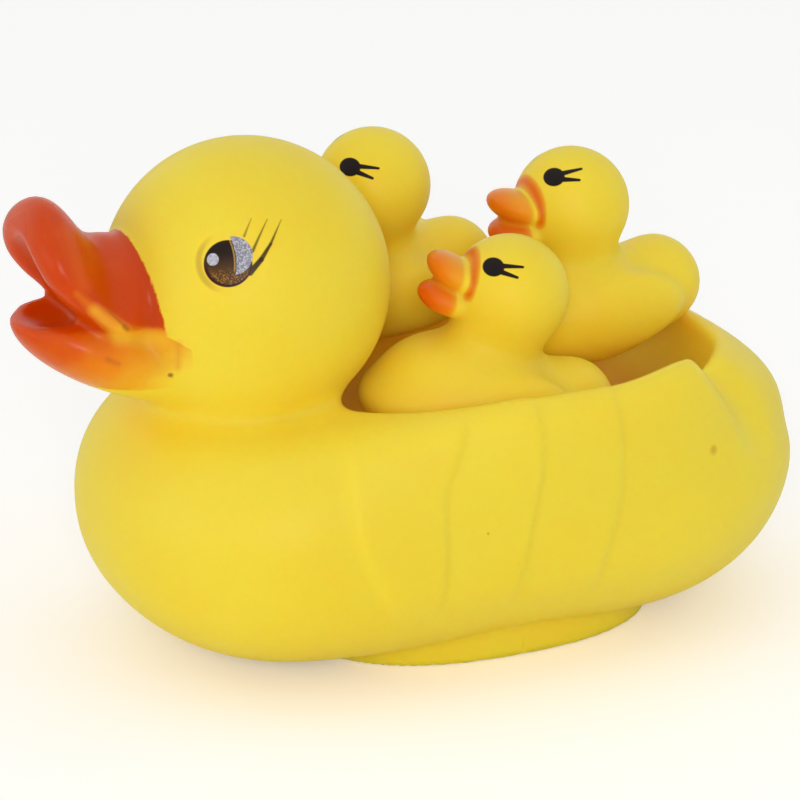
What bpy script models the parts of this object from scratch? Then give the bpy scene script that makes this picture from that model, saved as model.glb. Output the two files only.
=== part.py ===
# Bath toy: a mother duck whose back is moulded as an open tray, and three ducklings riding in it.
# Metres, +Z up. The duck faces -Y, its left side is +X, and its foot stands on z = 0.
# Each soft body is one blended field of rounded solids, skinned into a closed mesh; the squeakers
# under the feet are turned discs in bored pockets.
import math

import bpy
import numpy as np
from mathutils import Matrix, Vector

MM = 0.001
GAP = 0.3                       # clearance kept between pieces, millimetres
CENTRING = 0.5                  # shift along Y that puts the origin midway from bill to tail

# Driving dimensions, millimetres
HEAD_CENTRE = (0.0, -27.4, 61.4)
HEAD_RADII = (23.0, 22.7, 22.8)
BREAST_CENTRE, BREAST_RADII = (0.0, -21.0, 24.5), (36.0, 32.8, 24.2)
HULL_CENTRE, HULL_RADII = (0.0, 14.0, 28.5), (39.0, 44.0, 27.2)
TAIL_CENTRE, TAIL_RADII = (0.0, 37.0, 28.0), (34.5, 27.7, 26.0)
TAIL_TOP, TAIL_FALL = 53.0, 0.52                # height of the tail's deck and its fall per millimetre
RIM_HEIGHT = 48.4               # top of the tray's side at mid length
RIM_RISE = 0.01                 # rise of the rim toward the wing tips, per millimetre
WING_TIP_Y, WING_TIP_FALL = 35.5, 1.0
TRAY_CENTRE, TRAY_RADII = (0.0, 15.1, 58.0), (33.3, 37.4, 32.0)
TRAY_FLOOR = 27.5
FOOT_HALF_WIDTH, FOOT_HALF_LENGTH, FOOT_CENTRE_Y = 24.0, 31.0, 10.0
NECK_BLEND = 5.0
UPPER_BILL_TILT, LOWER_BILL_TILT = 38.0, 24.0   # degrees above level
UPPER_BILL_RADII, LOWER_BILL_RADII = (12.8, 13.1, 6.4), (12.2, 17.2, 6.4)
BILL_DROOP = 0.022              # fall of the upper bill's sides, per square millimetre of width
WING_RELIEF = 0.9
FEATHER_GROOVES = (-11.0, 2.5, 17.5)            # where each groove crosses mid height
SQUEAKER_RADIUS, SQUEAKER_HEIGHT, SQUEAKER_Y = 10.5, 3.4, 8.5

CHICK_HEAD_CENTRE, CHICK_HEAD_RADII = (0.0, -3.0, 26.4), (9.6, 9.4, 9.4)
CHICK_BODY_CENTRE, CHICK_BODY_RADII = (0.0, -2.4, 9.1), (12.1, 16.5, 9.6)
CHICK_TAIL_CENTRE, CHICK_TAIL_RADII = (0.0, 12.8, 11.4), (8.4, 7.0, 7.3)
CHICK_SQUEAKER_RADIUS, CHICK_SQUEAKER_HEIGHT, CHICK_SQUEAKER_Y = 5.4, 2.4, -2.0
# name, place of the foot in the tray, nose-up pitch, lean to the left and turn, in degrees
CHICKS = (("duckling_left", (12.8, 6.3, 32.1), 19.0, 0.0, -12.0),
          ("duckling_right", (-22.4, 4.3, RIM_HEIGHT - 5.9), 3.8, 11.9, -7.0),
          ("duckling_rear", (-2.4, 34.1, TAIL_TOP - 13.8), 0.0, 0.0, 0.0))

MOTHER_CELL, MOTHER_KEEP = 1.86, 0.22           # skin cell and the share of faces kept
CHICK_CELL, CHICK_KEEP = 1.15, 0.20

YELLOW, IVORY = (0.855, 0.651, 0.056), (0.82, 0.80, 0.74)


# Distance fields, negative inside, in millimetres
def ellipsoid(x, y, z, centre, radii):
    """Scaled distance k0 (k0 - 1) / k1 to an ellipsoid's surface."""
    a, b, c = (x - centre[0]) / radii[0], (y - centre[1]) / radii[1], (z - centre[2]) / radii[2]
    k0 = np.sqrt(a * a + b * b + c * c) + 1e-9
    k1 = np.sqrt((a / radii[0]) ** 2 + (b / radii[1]) ** 2 + (c / radii[2]) ** 2) + 1e-9
    return k0 * (k0 - 1.0) / k1


def superellipsoid(x, y, z, centre, radii, plan, side):
    """Distance along the ray from the centre to (|a|^n + |b|^n)^(m/n) + |c|^m = 1."""
    a, b, c = x - centre[0], y - centre[1], z - centre[2]
    flat = np.abs(a / radii[0]) ** plan + np.abs(b / radii[1]) ** plan + 1e-12
    k = (flat ** (side / plan) + np.abs(c / radii[2]) ** side) ** (1.0 / side) + 1e-9
    return np.sqrt(a * a + b * b + c * c) * (1.0 - 1.0 / k)


def join(a, b, radius):
    """Union with a fillet of about the given radius."""
    h = np.clip(0.5 + 0.5 * (b - a) / radius, 0.0, 1.0)
    return b * (1.0 - h) + a * h - radius * h * (1.0 - h)


def meet(a, b, radius):
    """Intersection with a rounded edge."""
    return -join(-a, -b, radius)


def ramp(low, high, value):
    t = np.clip((value - low) / (high - low), 0.0, 1.0)
    return t * t * (3.0 - 2.0 * t)


def tilted(forward, up, origin, degrees):
    """Coordinates along and across an axis that rises by the given angle."""
    c, s = math.cos(math.radians(degrees)), math.sin(math.radians(degrees))
    a, b = forward - origin[0], up - origin[1]
    return a * c + b * s, b * c - a * s


def mother_hull(x, y, z):
    """Breast, hull and tail blended, opened by the tray and standing on an oval foot."""
    side = np.abs(x)
    upright = np.where(z > HULL_CENTRE[2], 3.8, 2.35)
    body = join(superellipsoid(x, y, z, BREAST_CENTRE, BREAST_RADII, 2.15, 2.15),
                superellipsoid(x, y, z, HULL_CENTRE, HULL_RADII, 2.35, upright), 12.0)
    body = body - wing_relief(x, y, z)
    tip = np.exp(-((y - WING_TIP_Y + 3.0) / 6.0) ** 2) * ramp(18.0, 30.0, side)
    behind = np.clip(y - WING_TIP_Y, 0.0, 40.0)
    front = np.clip(4.0 - y, 0.0, 30.0)
    rim = RIM_HEIGHT + RIM_RISE * y + 1.2 * tip - WING_TIP_FALL * behind - 0.17 * front
    body = meet(body, z - rim, 4.0)
    deck = TAIL_TOP - TAIL_FALL * np.clip(y - TAIL_CENTRE[1], 0.0, 40.0)
    tail = meet(ellipsoid(x, y, z, TAIL_CENTRE, TAIL_RADII), z - deck, 6.0)
    body = join(body, tail, 4.0 + 8.0 * ramp(38.0, 24.0, z))
    tray = superellipsoid(x, y, z, TRAY_CENTRE, TRAY_RADII, 2.25, 2.8)
    tray = meet(tray, TRAY_FLOOR - z, 8.0)
    body = meet(body, -tray, 3.0)
    n = 2.4
    foot = ((side / FOOT_HALF_WIDTH) ** n
            + (np.abs(y - FOOT_CENTRE_Y) / FOOT_HALF_LENGTH) ** n) ** (1.0 / n)
    foot = meet((foot - 1.0) * FOOT_HALF_WIDTH, z - 9.0, 1.5)
    body = join(body, foot, 1.2)
    return meet(body, -z, 0.8)


def wing_relief(x, y, z):
    """Height of the folded wing above the side, stepped at each feather and soft at its ends."""
    high = z - 32.0
    front = -25.0 + 0.020 * high ** 2 + 0.10 * (-high)
    rise = ramp(-1.4, 1.4, y - front)
    fade = 1.0 - ramp(30.0, 50.0, y)
    belly = ramp(12.0, 20.0, z) * ramp(20.0, 30.0, np.abs(x))
    steps = 0.0
    for groove in FEATHER_GROOVES:
        line = groove + 3.0 - 0.012 * high ** 2
        steps = steps + 0.55 * np.exp(-((y - line) / 1.3) ** 2)
    return belly * fade * (WING_RELIEF * rise - steps * rise)


def bill(x, y, z):
    """Open bill: two spoon-shaped mandibles, hollowed inside and webbed at the mouth's corners."""
    forward, up = HEAD_CENTRE[1] - y, z - HEAD_CENTRE[2]
    s, v = tilted(forward, up, (24.0, 5.6), UPPER_BILL_TILT)
    v = v + 1.2 - 0.012 * np.clip(s - 4.0, 0.0, None) ** 2 + BILL_DROOP * x * x
    thick = UPPER_BILL_RADII[2] + 0.05 * np.clip(8.0 - s, 0.0, 14.0)
    cross = np.sqrt((x / UPPER_BILL_RADII[0]) ** 2 + (v / thick) ** 2)
    k = (cross ** 2.7 + (np.abs(s - 3.0) / UPPER_BILL_RADII[1]) ** 2.7) ** (1.0 / 2.7) + 1e-9
    upper = np.sqrt(x * x + v * v + (s - 3.0) ** 2) * (1.0 - 1.0 / k)
    upper = meet(upper, -ellipsoid(x, s - 9.5, v, (0.0, 0.0, -6.6), (8.0, 8.4, 4.4)), 1.6)
    s, v = tilted(forward, up, (24.0, -8.0), LOWER_BILL_TILT)
    lower = ellipsoid(x, s + 1.0, v, (0.0, 0.0, 0.6), LOWER_BILL_RADII)
    lower = meet(lower, up + 1.0, 2.2)
    lower = meet(lower, -ellipsoid(x, forward, up, (0.0, 29.0, -0.6), (7.6, 7.4, 4.6)), 1.6)
    return meet(join(upper, lower, 2.5), 6.0 - forward, 1.0)


def mother(x, y, z):
    head = ellipsoid(x, y, z, HEAD_CENTRE, HEAD_RADII)
    return join(join(mother_hull(x, y, z), head, NECK_BLEND), bill(x, y, z), 2.6)


def chick(x, y, z):
    """A duckling standing on z = 0: body, raised tail, round head and a short open bill."""
    body = join(ellipsoid(x, y, z, CHICK_BODY_CENTRE, CHICK_BODY_RADII),
                ellipsoid(x, y, z, CHICK_TAIL_CENTRE, CHICK_TAIL_RADII), 4.0)
    wing = ellipsoid(np.abs(x), y, z, (9.2, 3.6, 10.6), (3.4, 8.6, 5.4))
    body = join(body, wing, 2.0)
    body = join(body, ellipsoid(x, y, z, CHICK_HEAD_CENTRE, CHICK_HEAD_RADII), 3.0)
    forward, up = CHICK_HEAD_CENTRE[1] - y, z - CHICK_HEAD_CENTRE[2]
    s, v = tilted(forward, up, (10.0, 1.3), 22.0)
    upper = ellipsoid(x, s, v, (0.0, 0.0, 0.0), (5.9, 4.9, 2.5))
    s, v = tilted(forward, up, (9.6, -3.0), 8.0)
    lower = ellipsoid(x, s, v, (0.0, 0.0, 0.0), (4.7, 4.5, 2.1))
    body = join(body, join(upper, lower, 0.5), 0.8)
    return meet(body, -z, 0.6)


# Skinning
def skin(field, low, high, cell):
    """The skin at the coarsest cell, from the given size down, that leaves no doubtful edge."""
    for step in range(20):
        points, quads = grid_skin(field, low, high, cell * (1.0 - 0.01 * step))
        if sound(quads):
            break
    return on_surface(field, points), quads


def sound(quads):
    """True when every edge has exactly two faces."""
    edges = np.sort(np.concatenate([quads[:, [i, (i + 1) % 4]] for i in range(4)]), 1)
    return bool((np.unique(edges, axis=0, return_counts=True)[1] == 2).all())


def grid_skin(field, low, high, cell):
    """Closed quad mesh on field = 0: one vertex per crossed cell, one quad per crossed grid edge."""
    axes = [np.arange(low[i] - cell * 0.5, high[i] + cell, cell) for i in range(3)]
    values = field(*np.meshgrid(*axes, indexing="ij"))
    size = values.shape

    def corner(offset):
        return tuple(slice(offset[i], size[i] - 1 + offset[i]) for i in range(3))

    cells = tuple(n - 1 for n in size)
    total, count = np.zeros(cells + (3,)), np.zeros(cells)
    for axis in range(3):
        b, c = [i for i in range(3) if i != axis]
        for ob, oc in ((0, 0), (0, 1), (1, 0), (1, 1)):
            start, end = [0, 0, 0], [0, 0, 0]
            start[b] = end[b] = ob
            start[c] = end[c] = oc
            end[axis] = 1
            f0, f1 = values[corner(start)], values[corner(end)]
            crossed = (f0 < 0.0) != (f1 < 0.0)
            step = np.where(crossed, f0 / np.where(crossed, f0 - f1, 1.0), 0.0)
            for i in range(3):
                total[..., i] += step if i == axis else np.where(crossed, start[i], 0)
            count += crossed
    active = count > 0
    number = np.full(cells, -1)
    number[active] = np.arange(int(active.sum()))
    place = np.argwhere(active)
    points = np.stack([axes[i][place[:, i]] for i in range(3)], 1)
    points = points + total[active] / count[active][:, None] * cell
    inside, quads = values < 0.0, []
    for axis in range(3):
        b, c = (axis + 1) % 3, (axis + 2) % 3
        near, far = [slice(None)] * 3, [slice(None)] * 3
        near[axis], far[axis] = slice(0, size[axis] - 1), slice(1, size[axis])
        first = inside[tuple(near)]
        edge = np.argwhere(first != inside[tuple(far)])
        edge = edge[(edge[:, b] > 0) & (edge[:, c] > 0)
                    & (edge[:, b] < size[b] - 1) & (edge[:, c] < size[c] - 1)]
        ring = []
        for db, dc in ((1, 1), (0, 1), (0, 0), (1, 0)):
            around = edge.copy()
            around[:, b] -= db
            around[:, c] -= dc
            ring.append(number[around[:, 0], around[:, 1], around[:, 2]])
        quad = np.stack(ring, 1)
        flip = ~first[edge[:, 0], edge[:, 1], edge[:, 2]]
        quad[flip] = quad[flip][:, ::-1]
        quads.append(quad)
    return points, np.concatenate(quads)


def on_surface(field, points):
    """Two Newton steps along the field's gradient bring each vertex onto the surface."""
    for _ in range(2):
        slope = np.zeros_like(points)
        for i in range(3):
            nudge = np.zeros(3)
            nudge[i] = 0.05
            slope[:, i] = (field(*(points + nudge).T) - field(*(points - nudge).T)) / 0.1
        move = field(*points.T) / ((slope * slope).sum(1) + 1e-6)
        points = points - np.clip(move, -1.0, 1.0)[:, None] * slope
    return points


# Scene
def clear_scene():
    for item in list(bpy.data.objects):
        bpy.data.objects.remove(item, do_unlink=True)


def collection(name):
    group = bpy.data.collections.new(name)
    bpy.context.scene.collection.children.link(group)
    return group


def vinyl(name, colour, roughness):
    material = bpy.data.materials.new(name)
    material.use_nodes = True
    shader = material.node_tree.nodes["Principled BSDF"]
    shader.inputs["Base Color"].default_value = (*colour, 1.0)
    shader.inputs["Roughness"].default_value = roughness
    shader.inputs["Metallic"].default_value = 0.0
    return material


def skinned_mesh(name, points, quads):
    mesh = bpy.data.meshes.new(name)
    mesh.from_pydata((points * MM).tolist(), [], quads.tolist())
    mesh.shade_smooth()
    return mesh


def thin_out(item, keep):
    """Fewer faces on the flat parts of a skin, the same on both sides of x = 0."""
    thin = item.modifiers.new("thin_out", 'DECIMATE')
    thin.ratio = keep
    thin.use_symmetry = True
    thin.symmetry_axis = 'X'


def bore(item, cutters, radius, depth, y, frame):
    """A blind round pocket in the underside, cut by a cylinder that starts below the foot."""
    bpy.ops.mesh.primitive_cylinder_add(vertices=40, radius=radius * MM, depth=2.0 * depth * MM)
    cutter = bpy.context.object
    cutter.name = item.name + "_bore"
    cutter.parent = item.parent
    cutter.matrix_local = frame @ Matrix.Translation((0.0, y * MM, 0.0))
    for group in list(cutter.users_collection):
        group.objects.unlink(cutter)
    cutters.objects.link(cutter)
    cutter.hide_render = True
    cutter.display_type = 'WIRE'
    cut = item.modifiers.new("bore", 'BOOLEAN')
    cut.operation = 'DIFFERENCE'
    cut.solver = 'EXACT'
    cut.object = cutter


def squeaker(name, radius, height, y, frame, parts, home, material):
    """Turned disc with a stepped face, a rolled edge and a whistle hole down the middle."""
    low = 0.35
    hole = 0.16 * radius
    # at +X the profile runs down its outer side, then back up the hole
    profile = [(hole, low + height), (radius - 0.5, low + height), (radius, low + height - 0.5),
               (radius, low + 0.5), (radius - 0.5, low), (0.80 * radius, low),
               (0.72 * radius, low + 0.22 * height), (0.34 * radius, low + 0.22 * height),
               (0.30 * radius, low), (hole, low)]
    mesh = bpy.data.meshes.new(name)
    count = len(profile)
    mesh.from_pydata([(px * MM, 0.0, pz * MM) for px, pz in profile],
                     [(i, (i + 1) % count) for i in range(count)], [])
    item = bpy.data.objects.new(name, mesh)
    parts.objects.link(item)
    item.parent = home
    item.matrix_local = frame @ Matrix.Translation((0.0, y * MM, 0.0))
    turn = item.modifiers.new("turn", 'SCREW')
    turn.axis = 'Z'
    turn.steps = turn.render_steps = 32
    turn.use_merge_vertices = True
    turn.merge_threshold = 0.00001
    item.data.materials.append(material)
    return item


def pose(place, pitch, lean, turn):
    """World frame of a duckling: pitched, then leaned, then turned about its foot."""
    turned = (Matrix.Rotation(math.radians(turn), 4, 'Z') @ Matrix.Rotation(math.radians(lean), 4, 'Y')
              @ Matrix.Rotation(-math.radians(pitch), 4, 'X'))
    return Matrix.Translation(Vector(place) * MM) @ turned


def build():
    clear_scene()
    parts, cutters = collection("rubber_duck"), collection("cutters")
    body_vinyl = vinyl("mother_vinyl", YELLOW, 0.42)
    chick_vinyl = vinyl("duckling_vinyl", YELLOW, 0.42)
    disc_plastic = vinyl("squeaker_plastic", IVORY, 0.35)

    home = bpy.data.objects.new("bath_toy", None)
    home.location = (0.0, CENTRING * MM, 0.0)
    parts.objects.link(home)
    level = Matrix.Identity(4)

    wide = max(HULL_RADII[0], BREAST_RADII[0]) + WING_RELIEF + 2.1
    front = HEAD_CENTRE[1] - UPPER_BILL_RADII[1] - 31.2
    back = max(HULL_CENTRE[1] + HULL_RADII[1], TAIL_CENTRE[1] + TAIL_RADII[1]) + 3.3
    top = HEAD_CENTRE[2] + HEAD_RADII[2] + 1.8
    points, quads = skin(mother, (-wide, front, -1.5), (wide, back, top), MOTHER_CELL)
    item = bpy.data.objects.new("mother_duck", skinned_mesh("mother_duck", points, quads))
    item.data.materials.append(body_vinyl)
    parts.objects.link(item)
    item.parent = home
    thin_out(item, MOTHER_KEEP)
    bore(item, cutters, SQUEAKER_RADIUS + GAP, SQUEAKER_HEIGHT + 0.35 + GAP, SQUEAKER_Y, level)
    squeaker("mother_squeaker", SQUEAKER_RADIUS, SQUEAKER_HEIGHT, SQUEAKER_Y, level, parts,
             home, disc_plastic)

    wide = CHICK_BODY_RADII[0] + 2.9
    front = CHICK_HEAD_CENTRE[1] - CHICK_HEAD_RADII[1] - 10.6
    back = CHICK_TAIL_CENTRE[1] + CHICK_TAIL_RADII[1] + 2.2
    top = CHICK_HEAD_CENTRE[2] + CHICK_HEAD_RADII[2] + 2.0
    points, quads = skin(chick, (-wide, front, -1.2), (wide, back, top), CHICK_CELL)
    mesh = skinned_mesh("duckling", points, quads)
    mesh.materials.append(chick_vinyl)
    for name, place, pitch, lean, turn in CHICKS:
        frame = pose(place, pitch, lean, turn)
        item = bpy.data.objects.new(name, mesh)
        parts.objects.link(item)
        item.parent = home
        item.matrix_local = frame
        thin_out(item, CHICK_KEEP)
        bore(item, cutters, CHICK_SQUEAKER_RADIUS + GAP, CHICK_SQUEAKER_HEIGHT + 0.35 + GAP,
             CHICK_SQUEAKER_Y, frame)
        squeaker(name + "_squeaker", CHICK_SQUEAKER_RADIUS, CHICK_SQUEAKER_HEIGHT,
                 CHICK_SQUEAKER_Y, frame, parts, home, disc_plastic)


build()
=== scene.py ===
import math

import bpy
import numpy as np
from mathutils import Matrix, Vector


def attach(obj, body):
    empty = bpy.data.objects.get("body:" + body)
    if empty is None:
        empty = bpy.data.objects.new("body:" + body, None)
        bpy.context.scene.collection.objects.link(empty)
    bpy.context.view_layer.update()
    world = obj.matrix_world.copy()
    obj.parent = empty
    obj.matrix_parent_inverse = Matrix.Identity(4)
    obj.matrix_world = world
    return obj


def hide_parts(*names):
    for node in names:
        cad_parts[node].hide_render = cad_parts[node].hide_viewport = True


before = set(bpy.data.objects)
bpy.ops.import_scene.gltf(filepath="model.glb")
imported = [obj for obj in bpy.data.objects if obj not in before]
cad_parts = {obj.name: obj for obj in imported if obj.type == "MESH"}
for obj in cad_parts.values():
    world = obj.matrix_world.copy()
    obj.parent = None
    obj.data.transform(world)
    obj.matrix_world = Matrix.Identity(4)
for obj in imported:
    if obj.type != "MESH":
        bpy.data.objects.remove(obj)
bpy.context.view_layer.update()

# A soft vinyl bath toy: a mother duck with a tray for a back and three loose ducklings.
# Millimetres, the duck faces -Y and its left side is +X; the CAD frame lies centring mm further
# along +Y, and frameMesh moves each finished mesh there.
centring = 0.5
print("frame loaded:", ", ".join(sorted(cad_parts)))


def ellipsoid(x, y, z, centre, radii):
    # signed distance, negative inside, as in each solid below:
    # k0 (k0 - 1) / k1, with k0 the length of p/r and k1 the length of p/r^2
    a, b, c = (x - centre[0]) / radii[0], (y - centre[1]) / radii[1], (z - centre[2]) / radii[2]
    k0 = np.sqrt(a * a + b * b + c * c) + 1e-9
    k1 = np.sqrt((a / radii[0]) ** 2 + (b / radii[1]) ** 2 + (c / radii[2]) ** 2) + 1e-9
    return k0 * (k0 - 1.0) / k1


def superEllipsoid(x, y, z, centre, radii, plan, side):
    # distance along the ray from the centre to (|a|^n + |b|^n)^(m/n) + |c|^m = 1
    a, b, c = x - centre[0], y - centre[1], z - centre[2]
    flat = np.abs(a / radii[0]) ** plan + np.abs(b / radii[1]) ** plan + 1e-12
    k = (flat ** (side / plan) + np.abs(c / radii[2]) ** side) ** (1.0 / side) + 1e-9
    return np.sqrt(a * a + b * b + c * c) * (1.0 - 1.0 / k)


def joined(a, b, radius):
    # b + h (a - b) - r h (1 - h), h = 1/2 + (b - a) / 2r held in 0..1: a union with a fillet
    h = np.clip(0.5 + 0.5 * (b - a) / radius, 0.0, 1.0)
    return b * (1.0 - h) + a * h - radius * h * (1.0 - h)


def common(a, b, radius):
    # the part inside both, with a rounded edge
    return -joined(-a, -b, radius)


def ramp(low, high, value):
    # t^2 (3 - 2t) for t from 0 at low to 1 at high
    t = np.clip((value - low) / (high - low), 0.0, 1.0)
    return t * t * (3.0 - 2.0 * t)


def tilted(forward, up, origin, degrees):
    # coordinates along and across an axis that rises by the angle
    c, s = math.cos(math.radians(degrees)), math.sin(math.radians(degrees))
    a, b = forward - origin[0], up - origin[1]
    return a * c + b * s, b * c - a * s


def skin(field, low, high, cell):
    # one vertex in each grid cell that field = 0 crosses, at the mean of its crossed edges,
    # and one quad round each crossed grid edge
    axes = [np.arange(low[i] - cell * 0.5, high[i] + cell, cell) for i in range(3)]
    values = field(*np.meshgrid(*axes, indexing="ij"))
    size = values.shape

    def corner(offset):
        return tuple(slice(offset[i], size[i] - 1 + offset[i]) for i in range(3))

    cells = tuple(n - 1 for n in size)
    total, count = np.zeros(cells + (3,)), np.zeros(cells)
    for axis in range(3):
        b, c = [i for i in range(3) if i != axis]
        for ob, oc in ((0, 0), (0, 1), (1, 0), (1, 1)):
            start, end = [0, 0, 0], [0, 0, 0]
            start[b] = end[b] = ob
            start[c] = end[c] = oc
            end[axis] = 1
            f0, f1 = values[corner(start)], values[corner(end)]
            crossed = (f0 < 0.0) != (f1 < 0.0)
            step = np.where(crossed, f0 / np.where(crossed, f0 - f1, 1.0), 0.0)
            for i in range(3):
                total[..., i] += step if i == axis else np.where(crossed, start[i], 0)
            count += crossed
    active = count > 0
    number = np.full(cells, -1)
    number[active] = np.arange(int(active.sum()))
    place = np.argwhere(active)
    points = np.stack([axes[i][place[:, i]] for i in range(3)], 1)
    points = points + total[active] / count[active][:, None] * cell
    inside, quads = values < 0.0, []
    for axis in range(3):
        b, c = (axis + 1) % 3, (axis + 2) % 3
        near, far = [slice(None)] * 3, [slice(None)] * 3
        near[axis], far[axis] = slice(0, size[axis] - 1), slice(1, size[axis])
        first = inside[tuple(near)]
        edge = np.argwhere(first != inside[tuple(far)])
        edge = edge[(edge[:, b] > 0) & (edge[:, c] > 0)
                    & (edge[:, b] < size[b] - 1) & (edge[:, c] < size[c] - 1)]
        paintedSocketShade = []
        for db, dc in ((1, 1), (0, 1), (0, 0), (1, 0)):
            around = edge.copy()
            around[:, b] -= db
            around[:, c] -= dc
            paintedSocketShade.append(number[around[:, 0], around[:, 1], around[:, 2]])
        quad = np.stack(paintedSocketShade, 1)
        flip = ~first[edge[:, 0], edge[:, 1], edge[:, 2]]
        quad[flip] = quad[flip][:, ::-1]
        quads.append(quad)
    return onSurface(field, points), np.concatenate(quads)


def onSurface(field, points):
    # two Newton steps, p - f grad f / |grad f|^2
    for _ in range(2):
        slope = np.zeros_like(points)
        for i in range(3):
            nudge = np.zeros(3)
            nudge[i] = 0.05
            slope[:, i] = (field(*(points + nudge).T) - field(*(points - nudge).T)) / 0.1
        move = field(*points.T) / ((slope * slope).sum(1) + 1e-6)
        points = points - np.clip(move, -0.6, 0.6)[:, None] * slope
    return points


def turned(profile, steps):
    # the closed profile (r, z) turned about Z: (r cos t, r sin t, z)
    r, z = np.array(profile).T
    t = np.linspace(0.0, 2.0 * math.pi, steps, endpoint=False)[:, None]
    points = np.stack([r * np.cos(t), r * np.sin(t), z + 0.0 * t], 2).reshape(-1, 3)
    i, j = np.meshgrid(np.arange(steps), np.arange(len(r)), indexing="ij")
    ni, nj = (i + 1) % steps, (j + 1) % len(r)
    quads = np.stack([i * len(r) + j, i * len(r) + nj, ni * len(r) + nj, ni * len(r) + j], 2)
    return points, quads.reshape(-1, 4)


def frameMesh(name, points, quads, material, node, maps):
    # the mesh in metres in the CAD frame, with its paint maps as point attributes: each point is
    # (p + (0, centring, 0)) / 1000
    mesh = bpy.data.meshes.new(name)
    mesh.vertices.add(len(points))
    mesh.vertices.foreach_set("co", ((points + (0.0, centring, 0.0)) * 0.001).ravel())
    mesh.loops.add(quads.size)
    mesh.loops.foreach_set("vertex_index", quads.ravel().astype(np.int32))
    mesh.polygons.add(len(quads))
    mesh.polygons.foreach_set("loop_start", np.arange(0, quads.size, 4, dtype=np.int32))
    mesh.update(calc_edges=True)
    mesh.validate()
    for title, values in maps.items():
        layer = mesh.attributes.new(title, 'FLOAT_VECTOR', 'POINT')
        layer.data.foreach_set("vector", values.astype(np.float32).ravel())
    mesh.shade_smooth()
    mesh.materials.append(material)
    piece = bpy.data.objects.new(name, mesh)
    bpy.context.scene.collection.objects.link(piece)
    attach(piece, "root")
    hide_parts(node)
    return piece


def hexColour(code):
    # sRGB hex to linear: c / 12.92 below 0.04045, else ((c + 0.055) / 1.055)^2.4
    parts = [int(code[i:i + 2], 16) / 255.0 for i in (1, 3, 5)]
    return (*[c / 12.92 if c <= 0.04045 else ((c + 0.055) / 1.055) ** 2.4 for c in parts], 1.0)


def addNode(tree, kind, settings):
    # a setting is a property of the node, or the value of one of its inputs, or a link to it;
    # gives back the first output in use
    node = tree.nodes.new("ShaderNode" + kind)
    for key, value in settings.items():
        if isinstance(value, bpy.types.NodeSocket):
            tree.links.new(value, node.inputs[key])
        elif isinstance(key, str) and hasattr(node, key):
            setattr(node, key, value)
        else:
            node.inputs[key].default_value = value
    return next((output for output in node.outputs if output.enabled), None)


def perMetre(size):
    # cells to the metre of a pattern whose cells are so many mm wide: 1000 / size
    return 1000.0 / size


smooth = {"interpolation_type": 'SMOOTHSTEP'}     # a Map Range that eases at both ends
lay = {"data_type": 'RGBA'}                       # a Mix that lays one colour over another


def inOval(tree, flat, oval, within=1.0):
    # within, where |(p - c) / r| < 1, and nothing outside, fading over a soft share of the radius
    centre, radii, soft = oval
    moved = addNode(tree, "VectorMath", {"operation": 'SUBTRACT', 0: flat, 1: (*centre, 0.0)})
    scaled = addNode(tree, "VectorMath", {"operation": 'DIVIDE', 0: moved, 1: (*radii, 1.0)})
    size = addNode(tree, "VectorMath", {"operation": 'LENGTH', 0: scaled})
    return addNode(tree, "MapRange", smooth | {0: size, 1: 1.0 + soft, 2: 1.0 - soft, 4: within})


def inStroke(tree, flat, stroke, within=1.0):
    # a round-ended stroke from a to b: the distance from its nearest point, at the share t of the
    # way, is less than the half width, which runs from root to tip
    (ax, ay), (bx, by), root, tip, soft = stroke
    dx, dy = bx - ax, by - ay
    whole = dx * dx + dy * dy
    moved = addNode(tree, "VectorMath", {"operation": 'SUBTRACT', 0: flat, 1: (ax, ay, 0.0)})
    along = (dx / whole, dy / whole, 0.0)
    share = addNode(tree, "VectorMath", {"operation": 'DOT_PRODUCT', 0: moved, 1: along})
    share = addNode(tree, "MapRange", {0: share, 1: 0.0, 2: 1.0})
    nearest = addNode(tree, "VectorMath", {"operation": 'SCALE', 0: (dx, dy, 0.0), "Scale": share})
    gap = addNode(tree, "VectorMath", {"operation": 'DISTANCE', 0: moved, 1: nearest})
    width = addNode(tree, "MapRange", {0: share, 3: root, 4: tip})
    room = addNode(tree, "Math", {"operation": 'SUBTRACT', 0: width, 1: gap})
    return addNode(tree, "MapRange", smooth | {0: room, 1: -soft, 2: soft, 4: within})


def atSpot(tree, place, spot, within=1.0):
    # within, in a ball round a place on the duck, mm
    centre, radius, soft = spot
    middle = [(c + d) * 0.001 for c, d in zip(centre, (0.0, centring, 0.0))]
    gap = addNode(tree, "VectorMath", {"operation": 'DISTANCE', 0: place, 1: middle})
    return addNode(tree, "MapRange", smooth | {0: gap, 1: (radius + soft) * 0.001,
                                               2: (radius - soft) * 0.001, 4: within})


vinyl = {
    "colour": "#FFDE42",        # lemon yellow of the moulding
    "deep": "#FFD93A",          # a little more orange where pigment settled
    "roughness": 0.42,          # satin PVC
    "roughnessBelow": 0.03, "roughnessAbove": 0.05,                  # how far handling varies it
    "ior": 1.53,
    "specular": 0.14,           # well under the usual 0.5, so the skin looks waxy and not varnished
    "scatterRadius": (1.0, 0.60, 0.12), "scatterScale": 0.0025,      # metres; red travels furthest
    "patch": 23.8,              # mm across a patch of settled pigment
    "grain": 1.43,              # mm; real mould grain is nearer 0.3, drawn coarser to show
    "swell": 8.33,              # mm across the soft unevenness of the wall
    "swellShare": 4.0, "bumpStrength": 0.35, "bumpDepth": 0.00004,   # metres
}


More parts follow.
